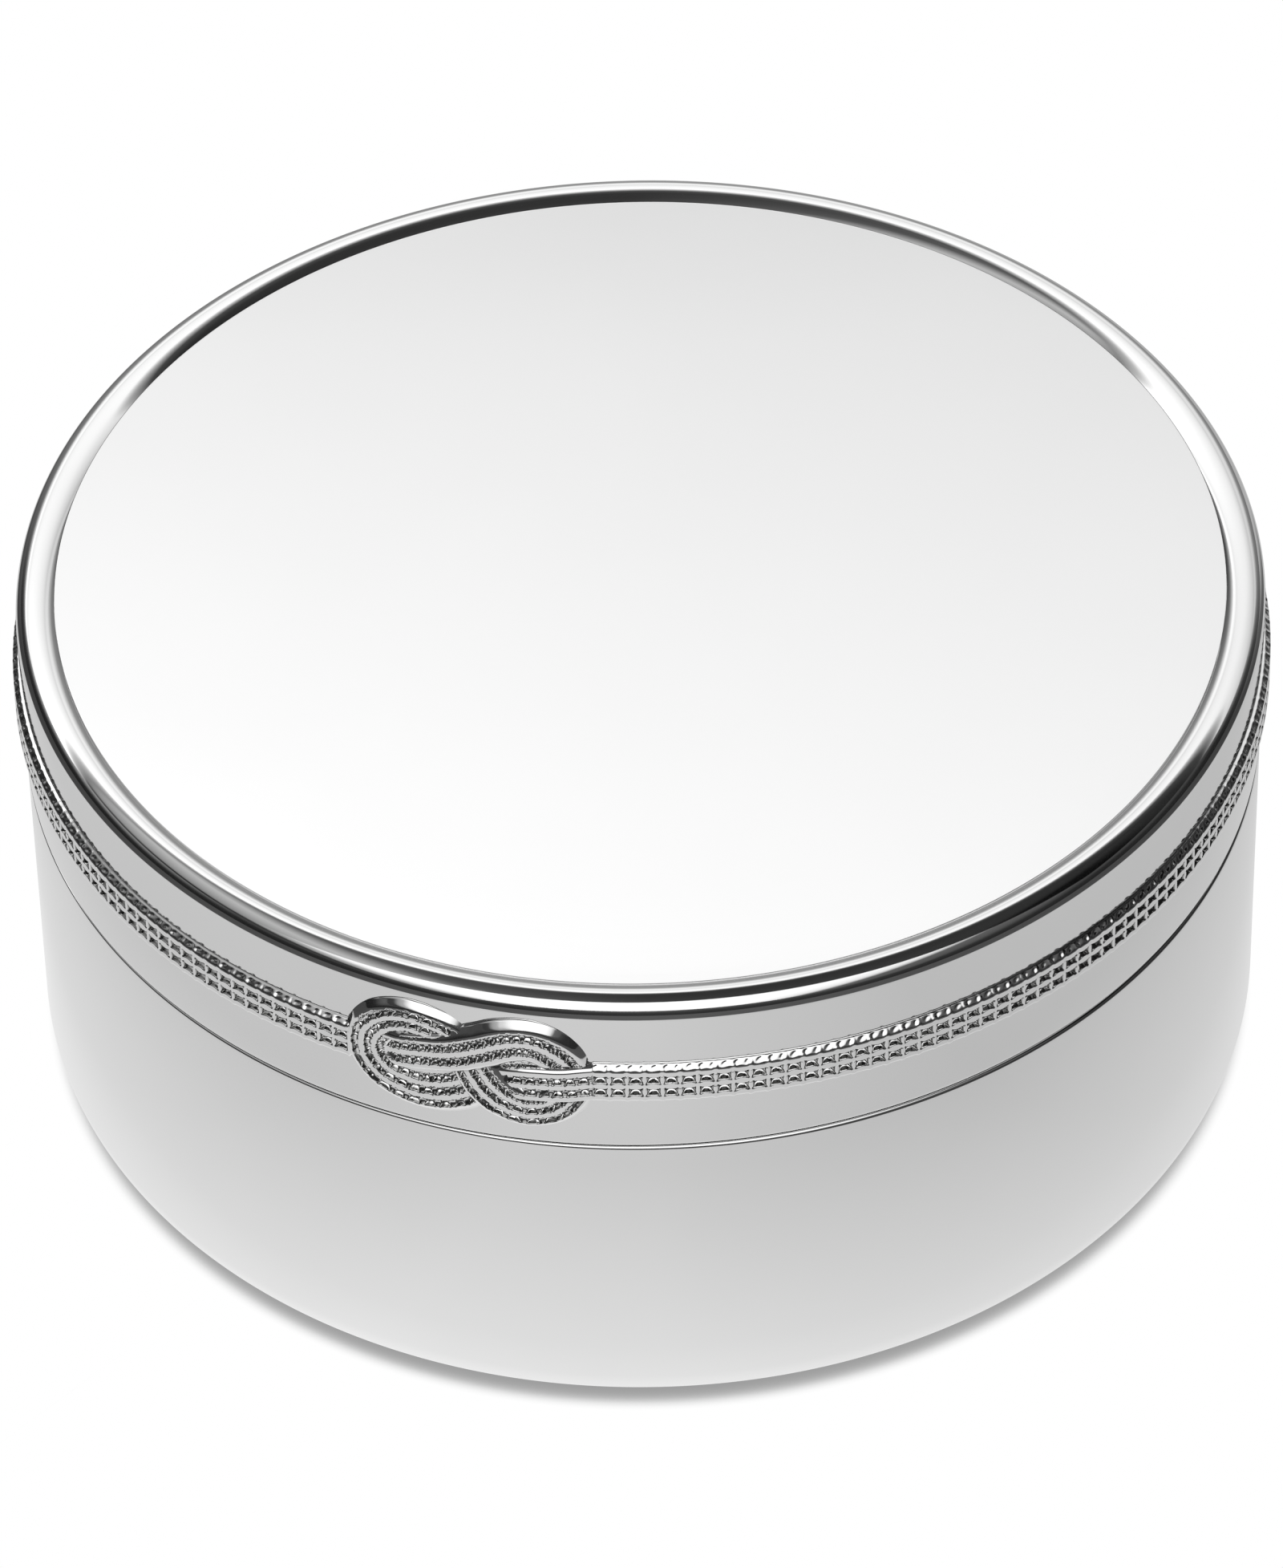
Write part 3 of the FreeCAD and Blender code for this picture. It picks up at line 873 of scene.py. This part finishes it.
def finalMesh(piece, name):
    graph = bpy.context.evaluated_depsgraph_get()
    mesh = bpy.data.meshes.new_from_object(piece.evaluated_get(graph), depsgraph=graph)
    mesh.name = name
    piece.modifiers.clear()
    bpy.data.objects.remove(piece)
    return mesh


def ropeMesh(name, points, sizes):
    path = flatPath(name, points)
    modifier = path.modifiers.new("rope", "NODES")
    modifier.node_group = ropeOnWall
    for item in ropeOnWall.interface.items_tree:
        if item.in_out == "INPUT" and item.name in sizes:
            modifier[item.identifier] = sizes[item.name]
    return finalMesh(path, name)


ropeBand = {
    "Wall Radius": wallRadius,
    "Half Width": 2.55 * mm,
    "Rise": 0.88 * mm,
    "Sink": 0.15 * mm,
    "Flat Share": 0.77,
    "Edge Share": 0.30,
    "Corner Round": 0.45,
    "Rows": 2.0,
    "Row Spacing": 1.6 * mm,
    "Row Shift": 0.0,
    "Pitch": 1.71 * mm,
    "Pit Depth": 0.58 * mm,
    "Pit Length": 0.75,
    "Pit Width": 0.50,
    "Pit Points": 0.30,
    "Pit Slope": 0.50,
    "Grain": 0.12,
    "Crowding": 0.65,
    "Groove Share": 0.0,
    "Tab Share": 0.05,
    "Flank Groove": 0.22 * mm,
    "Flank Lays": 1.5,
    "Flank Twist": -0.6,
    "End Taper": 0.3 * mm,
    "Steps Along": 1500,
    "Steps Across": 58,
    "Finish": ropeSilver,
}
bandLevelMm = bandLevel / mm
bandJoint = {
    "lap": 0.12,  # millimetres that a length runs on under the next one's first bar
    "endTaper": 0.02 * mm,
}
knotSpan = (-11.6, 12.8)  # millimetres either side of the front, where the band gives way to the knot


def makeBand():
    start, end = knotSpan[1], roundTheBox / mm + knotSpan[0]
    pitch = ropeBand["Pitch"] / mm
    third = round((end - start) / 3 / pitch) * pitch  # a whole number of lays, so the pattern runs on
    joints = (start, start + third, start + 2 * third, end)
    nodes = ["rope_cord_lower", "rope_cord_middle", "rope_cord_upper"]
    for side, near, far in zip(("right", "back", "left"), joints, joints[1:]):
        lap = 0 if side == "left" else bandJoint["lap"]
        points = [(near, bandLevelMm, 0, 1), (far + lap, bandLevelMm, 0, 1)]
        mesh = ropeMesh("rope_band_" + side, points, {**ropeBand, "End Taper": bandJoint["endTaper"]})
        addPiece("rope_band_" + side, mesh, "lid", nodes, ropeSilver)


# Knot: three strands and the metal between them, each a path on the wall
# of (along, up, lift, width share), in millimetres but for the last
loopStrand = {
    "points": [
        (10.9, 46.2, -0.9, 0.95), (9.9, 44.2, -0.1, 1.0), (7.2, 42.7, 0.0, 1.04), (4.5, 43.2, 0.0, 1.1),
        (2.7, 44.7, 0.05, 1.1), (1.5, 46.7, 0.0, 1.05), (0.4, 48.6, -0.4, 0.95), (-1.2, 50.3, -0.2, 0.95),
        (-3.7, 51.4, 0.0, 0.98), (-6.4, 51.3, 0.0, 1.0), (-8.65, 49.8, 0.0, 1.0), (-9.6, 47.2, 0.0, 1.02),
        (-8.5, 44.6, 0.0, 1.15), (-5.7, 43.3, 0.0, 1.28), (-2.6, 43.3, 0.0, 1.3), (0.3, 44.3, -0.3, 1.25),
        (2.2, 45.4, -1.0, 1.1),
    ],
    "Half Width": 2.72 * mm, "Rows": 3.0, "Row Spacing": 1.33 * mm, "Pitch": 1.3 * mm,
    "Flat Share": 0.69, "Steps Along": 660, "Steps Across": 76,
}
crossingStrand = {
    "points": [
        (-8.6, 47.1, -0.5, 0.9), (-6.8, 47.4, 0.02, 1.0), (-4.0, 47.9, 0.06, 1.0), (-0.8, 48.7, 0.15, 1.0),
        (2.2, 50.1, 0.22, 1.0), (4.6, 51.2, 0.15, 1.0), (7.0, 51.4, 0.05, 1.0), (9.1, 50.2, -0.1, 1.0),
        (10.4, 48.4, -0.4, 0.95), (10.8, 46.6, -0.9, 0.9),
    ],
    "Half Width": 2.8 * mm, "Rows": 2.0, "Row Spacing": 1.75 * mm, "Row Shift": 0.16 * mm,
    "Pitch": 0.92 * mm, "Flat Share": 0.70, "Steps Along": 420, "Steps Across": 64,
}
tailStrand = {
    "points": [
        (2.6, 45.2, -0.9, 0.9), (4.6, 45.8, -0.2, 0.95), (6.0, 46.05, 0.05, 1.0), (7.6, 46.2, 0.12, 1.0),
        (10.2, 46.35, 0.10, 1.0), (12.2, 46.55, -0.1, 1.0), (13.6, 46.6, -0.3, 1.0),
    ],
    "Half Width": 2.4 * mm, "Rows": 2.0, "Row Spacing": 1.6 * mm, "Pitch": 1.3 * mm,
    "Flat Share": 0.82, "Steps Along": 200, "Steps Across": 60,
}
bedStrand = {  # plain metal inside the left loop, under the crossing
    "points": [
        (-6.6, 46.2, -0.3, 0.8), (-5.3, 45.95, -0.05, 1.0),
        (-3.0, 46.15, -0.05, 1.0), (-0.6, 46.8, -0.1, 0.9),
    ],
    "Half Width": 0.75 * mm, "Rows": 0.0, "Flat Share": 0.80, "Edge Share": 0.5,
    "Steps Along": 60, "Steps Across": 24,
}
upperBedStrand = {  # one row of pits above the crossing
    **bedStrand,
    "points": [
        (-7.3, 48.85, -0.25, 0.8), (-5.2, 49.5, -0.04, 1.0),
        (-2.8, 50.15, -0.04, 1.0), (-1.2, 50.7, -0.15, 0.9),
    ],
    "Rows": 1.0, "Row Spacing": 1.1 * mm, "Pitch": 1.0 * mm, "Steps Along": 90,
}
hollowStrand = {  # rough metal in the hollow between the crossing and the tail
    "points": [
        (3.4, 47.6, -0.6, 0.8), (4.8, 48.3, -0.2, 1.0), (6.6, 48.7, -0.15, 1.0), (8.6, 48.5, -0.25, 0.9),
    ],
    "Half Width": 1.3 * mm, "Rows": 3.0, "Row Spacing": 0.8 * mm, "Pitch": 0.75 * mm, "Flat Share": 0.86,
    "Edge Share": 0.5, "Grain": 0.9, "Groove Share": 0.8, "Steps Along": 110, "Steps Across": 44,
}
knotFinish = {
    "Rise": 1.05 * mm,
    "Edge Share": 0.18,
    "Corner Round": 0.45,
    "Pit Depth": 0.54 * mm,
    "Pit Length": 0.75,
    "Pit Width": 0.54,
    "Pit Points": 0.20,
    "Pit Slope": 0.50,
    "Grain": 0.30,
    "Groove Share": 0.65,
    "Tab Share": 0.0,
    "Flank Groove": 0.0,
    "End Taper": 0.8 * mm,
}


def makeKnot():
    bm = bmesh.new()
    strands = {"loop": loopStrand, "crossing": crossingStrand, "tail": tailStrand}
    strands.update({"bed": bedStrand, "upperBed": upperBedStrand, "hollow": hollowStrand})
    for name, strand in strands.items():
        mesh = ropeMesh("knot_" + name, strand["points"], {**ropeBand, **knotFinish, **strand})
        bm.from_mesh(mesh)
        bpy.data.meshes.remove(mesh)
    mesh = bpy.data.meshes.new("knot_tied")
    bm.to_mesh(mesh)
    bm.free()
    mesh.shade_smooth()
    addPiece("knot_tied", mesh, "lid", ["knot_ornament"], ropeSilver)


makeBand()
makeKnot()
print("rope trim made")


# Soft inside: lining strip, two puffed pads, and the felt under the base
wallLining = {
    "thickness": 1.6 * mm,
    "topRound": 0.6 * mm,
    "glued": 0.1 * mm,  # depth of the back, which lies true on the wall
    "seamAngle": 90,  # degrees round, straight behind
    "seamWidth": 0.9 * mm,
    "seamDepth": 0.45 * mm,
    "seamFall": 4,
    "ripple": 0.06 * mm,
    "longRipples": 9,
    "shortRipples": 23,
    "rippleLean": 3 * mm,
    "rings": 10,
    "sectors": 720,
}
feltDisc = {"edgeRound": 0.3 * mm, "sectors": 240}
padCloth = {
    "count": 56,  # squares across the disc
    "scale": 10.0,  # simulated larger, where the solver is steady
    "pressure": 4.0,
    "quality": 6,
    "frames": 20,
    "sideRound": 0.25 * mm,
    "edgeShare": 0.62,  # of the pad's thickness, at its edge
    "faceShare": 0.80,  # and in its middle, before it is puffed
    "crownShare": 0.5,
    "crownPower": 4,
    "freeShare": 0.9,  # of the edge's height, above which the cloth may swell
    "mostPuff": 0.22,  # of the pad's thickness
}


def makeWallLining():
    inner, outer = liningHigh.x - wallLining["thickness"], liningHigh.x
    low, high, turn = liningLow.z, liningHigh.z, wallLining["topRound"]
    seamAngle = math.radians(wallLining["seamAngle"])

    def ease(radius, height, angle):
        if radius > outer - wallLining["glued"]:
            return radius
        across = (angle - seamAngle) * radius / wallLining["seamWidth"]
        seam = wallLining["seamDepth"] * math.exp(-across * across * wallLining["seamFall"])
        longWave = math.sin(wallLining["longRipples"] * angle)
        shortWave = math.sin(wallLining["shortRipples"] * angle + height / wallLining["rippleLean"])
        return radius + seam + wallLining["ripple"] * (longWave + shortWave) / 2

    outline = [(outer, low), (outer, high)]
    outline += arc(inner + turn, high - turn, turn, 90, 180, 6)
    rings = wallLining["rings"]
    for ring in range(1, rings):
        outline.append((inner, high - turn + (low + turn - high + turn) * ring / rings))
    outline += arc(inner + turn, low + turn, turn, 180, 270, 6)
    mesh = turnedMesh("base_wall_velvet", outline, sectors=wallLining["sectors"], ease=ease)
    piece = addPiece("base_wall_velvet", mesh, "base", ["base_wall_lining"], navyVelvet)


def makeFelt():
    low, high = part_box("base_felt")
    radius, edge = high.x, feltDisc["edgeRound"]
    outline = [(0, low.z)]
    outline += arc(radius - edge, low.z + edge, edge, -90, 0, 5)
    outline += [(radius, high.z), (0, high.z)]
    mesh = turnedMesh("base_felt_disc", outline, closed=False, sectors=feltDisc["sectors"])
    piece = addPiece("base_felt_disc", mesh, "base", ["base_felt"], blackFelt)


def discPoint(u, v):
    if u == 0 and v == 0:  # a square grid laid over the disc, so that its squares stay even
        return 0.0, 0.0
    if abs(u) > abs(v):
        reach, angle = u, math.pi / 4 * v / u
    else:
        reach, angle = v, math.pi / 2 - math.pi / 4 * u / v
    return reach * math.cos(angle), reach * math.sin(angle)


def padMesh(name, radius, base, edge, face):
    count = padCloth["count"]
    crown = (face - edge) * padCloth["crownShare"]
    bm = bmesh.new()
    layers = []
    for top in (False, True):
        rows = []
        for i in range(count + 1):
            row = []
            for j in range(count + 1):
                x, y = discPoint(2 * i / count - 1, 2 * j / count - 1)
                reach = math.hypot(x, y)
                level = edge + crown * (1 - reach ** padCloth["crownPower"]) if top else base
                row.append(bm.verts.new((x * radius, y * radius, level)))
            rows.append(row)
        layers.append(rows)
        for i in range(count):
            for j in range(count):
                bm.faces.new((rows[i][j], rows[i + 1][j], rows[i + 1][j + 1], rows[i][j + 1]))
    rim = [(i, 0) for i in range(count)] + [(count, j) for j in range(count)]
    rim += [(i, count) for i in range(count, 0, -1)] + [(0, j) for j in range(count, 0, -1)]
    sides = []
    for bottom, top in ((layers[0][i][j], layers[1][i][j]) for i, j in rim):
        outward = 1 + padCloth["sideRound"] / radius
        middle = (bottom.co + top.co) / 2
        sides.append((bottom, bm.verts.new((middle.x * outward, middle.y * outward, middle.z)), top))
    for first, second in zip(sides, sides[1:] + sides[:1]):
        for level in (0, 1):
            bm.faces.new((first[level], second[level], second[level + 1], first[level + 1]))
    bmesh.ops.recalc_face_normals(bm, faces=bm.faces)
    mesh = bpy.data.meshes.new(name)
    bm.to_mesh(mesh)
    bm.free()
    fixed = abs(edge - base) * padCloth["freeShare"]
    free = [vert.index for vert in mesh.vertices if abs(vert.co.z - base) > fixed]
    return mesh, free


def puffed(mesh, free, most):
    scale = padCloth["scale"]
    trial = newObject("padTrial", mesh.copy())
    trial.data.transform(Matrix.Scale(scale, 4))
    held = trial.vertex_groups.new(name="held")
    freeSet = set(free)
    held.add([vert.index for vert in mesh.vertices if vert.index not in freeSet], 1.0, "REPLACE")
    cloth = trial.modifiers.new("cloth", "CLOTH")
    cloth.settings.use_pressure = True
    cloth.settings.uniform_pressure_force = padCloth["pressure"]
    cloth.settings.effector_weights.gravity = 0
    cloth.settings.vertex_group_mass = "held"
    cloth.settings.quality = padCloth["quality"]
    cloth.point_cache.frame_end = padCloth["frames"]
    scene = bpy.context.scene
    for step in range(1, padCloth["frames"] + 1):
        scene.frame_set(step)
    graph = bpy.context.evaluated_depsgraph_get()
    swollen = trial.evaluated_get(graph).to_mesh()
    moves = [swollen.vertices[i].co / scale - mesh.vertices[i].co for i in range(len(mesh.vertices))]
    trial.evaluated_get(graph).to_mesh_clear()
    longest = max(move.length for move in moves)
    share = min(1, most / max(longest, 1e-9))
    for vert, move in zip(mesh.vertices, moves):
        vert.co += move * share
    data = trial.data
    bpy.data.objects.remove(trial)
    bpy.data.meshes.remove(data)
    scene.frame_set(1)
    print("pad puffed:", round(longest / mm, 2), "mm, kept", round(longest * share / mm, 2), "mm")


def makePad(name, node, body, upward):
    low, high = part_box(node)
    base, top = (low.z, high.z) if upward else (high.z, low.z)
    edge = base + (top - base) * padCloth["edgeShare"]
    face = base + (top - base) * padCloth["faceShare"]
    mesh, free = padMesh(name, high.x, base, edge, face)
    puffed(mesh, free, padCloth["mostPuff"] * (high.z - low.z))
    plain = newObject(name, mesh)
    finer = plain.modifiers.new("finer", "SUBSURF")
    finer.levels = 1
    finer.render_levels = 1
    smooth = finalMesh(plain, name)
    smooth.shade_smooth()
    piece = addPiece(name, smooth, body, [node], navyVelvet)


def coverBoards():
    for name in ("base_floor_board", "lid_lining_board"):
        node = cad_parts[name]
        node.data.materials.clear()
        node.data.materials.append(pressedCard)


makeWallLining()
makeFelt()
makePad("base_floor_velvet", "base_floor_pad", "base", upward=True)
makePad("lid_velvet", "lid_lining_pad", "lid", upward=False)
coverBoards()
print("soft pieces made")
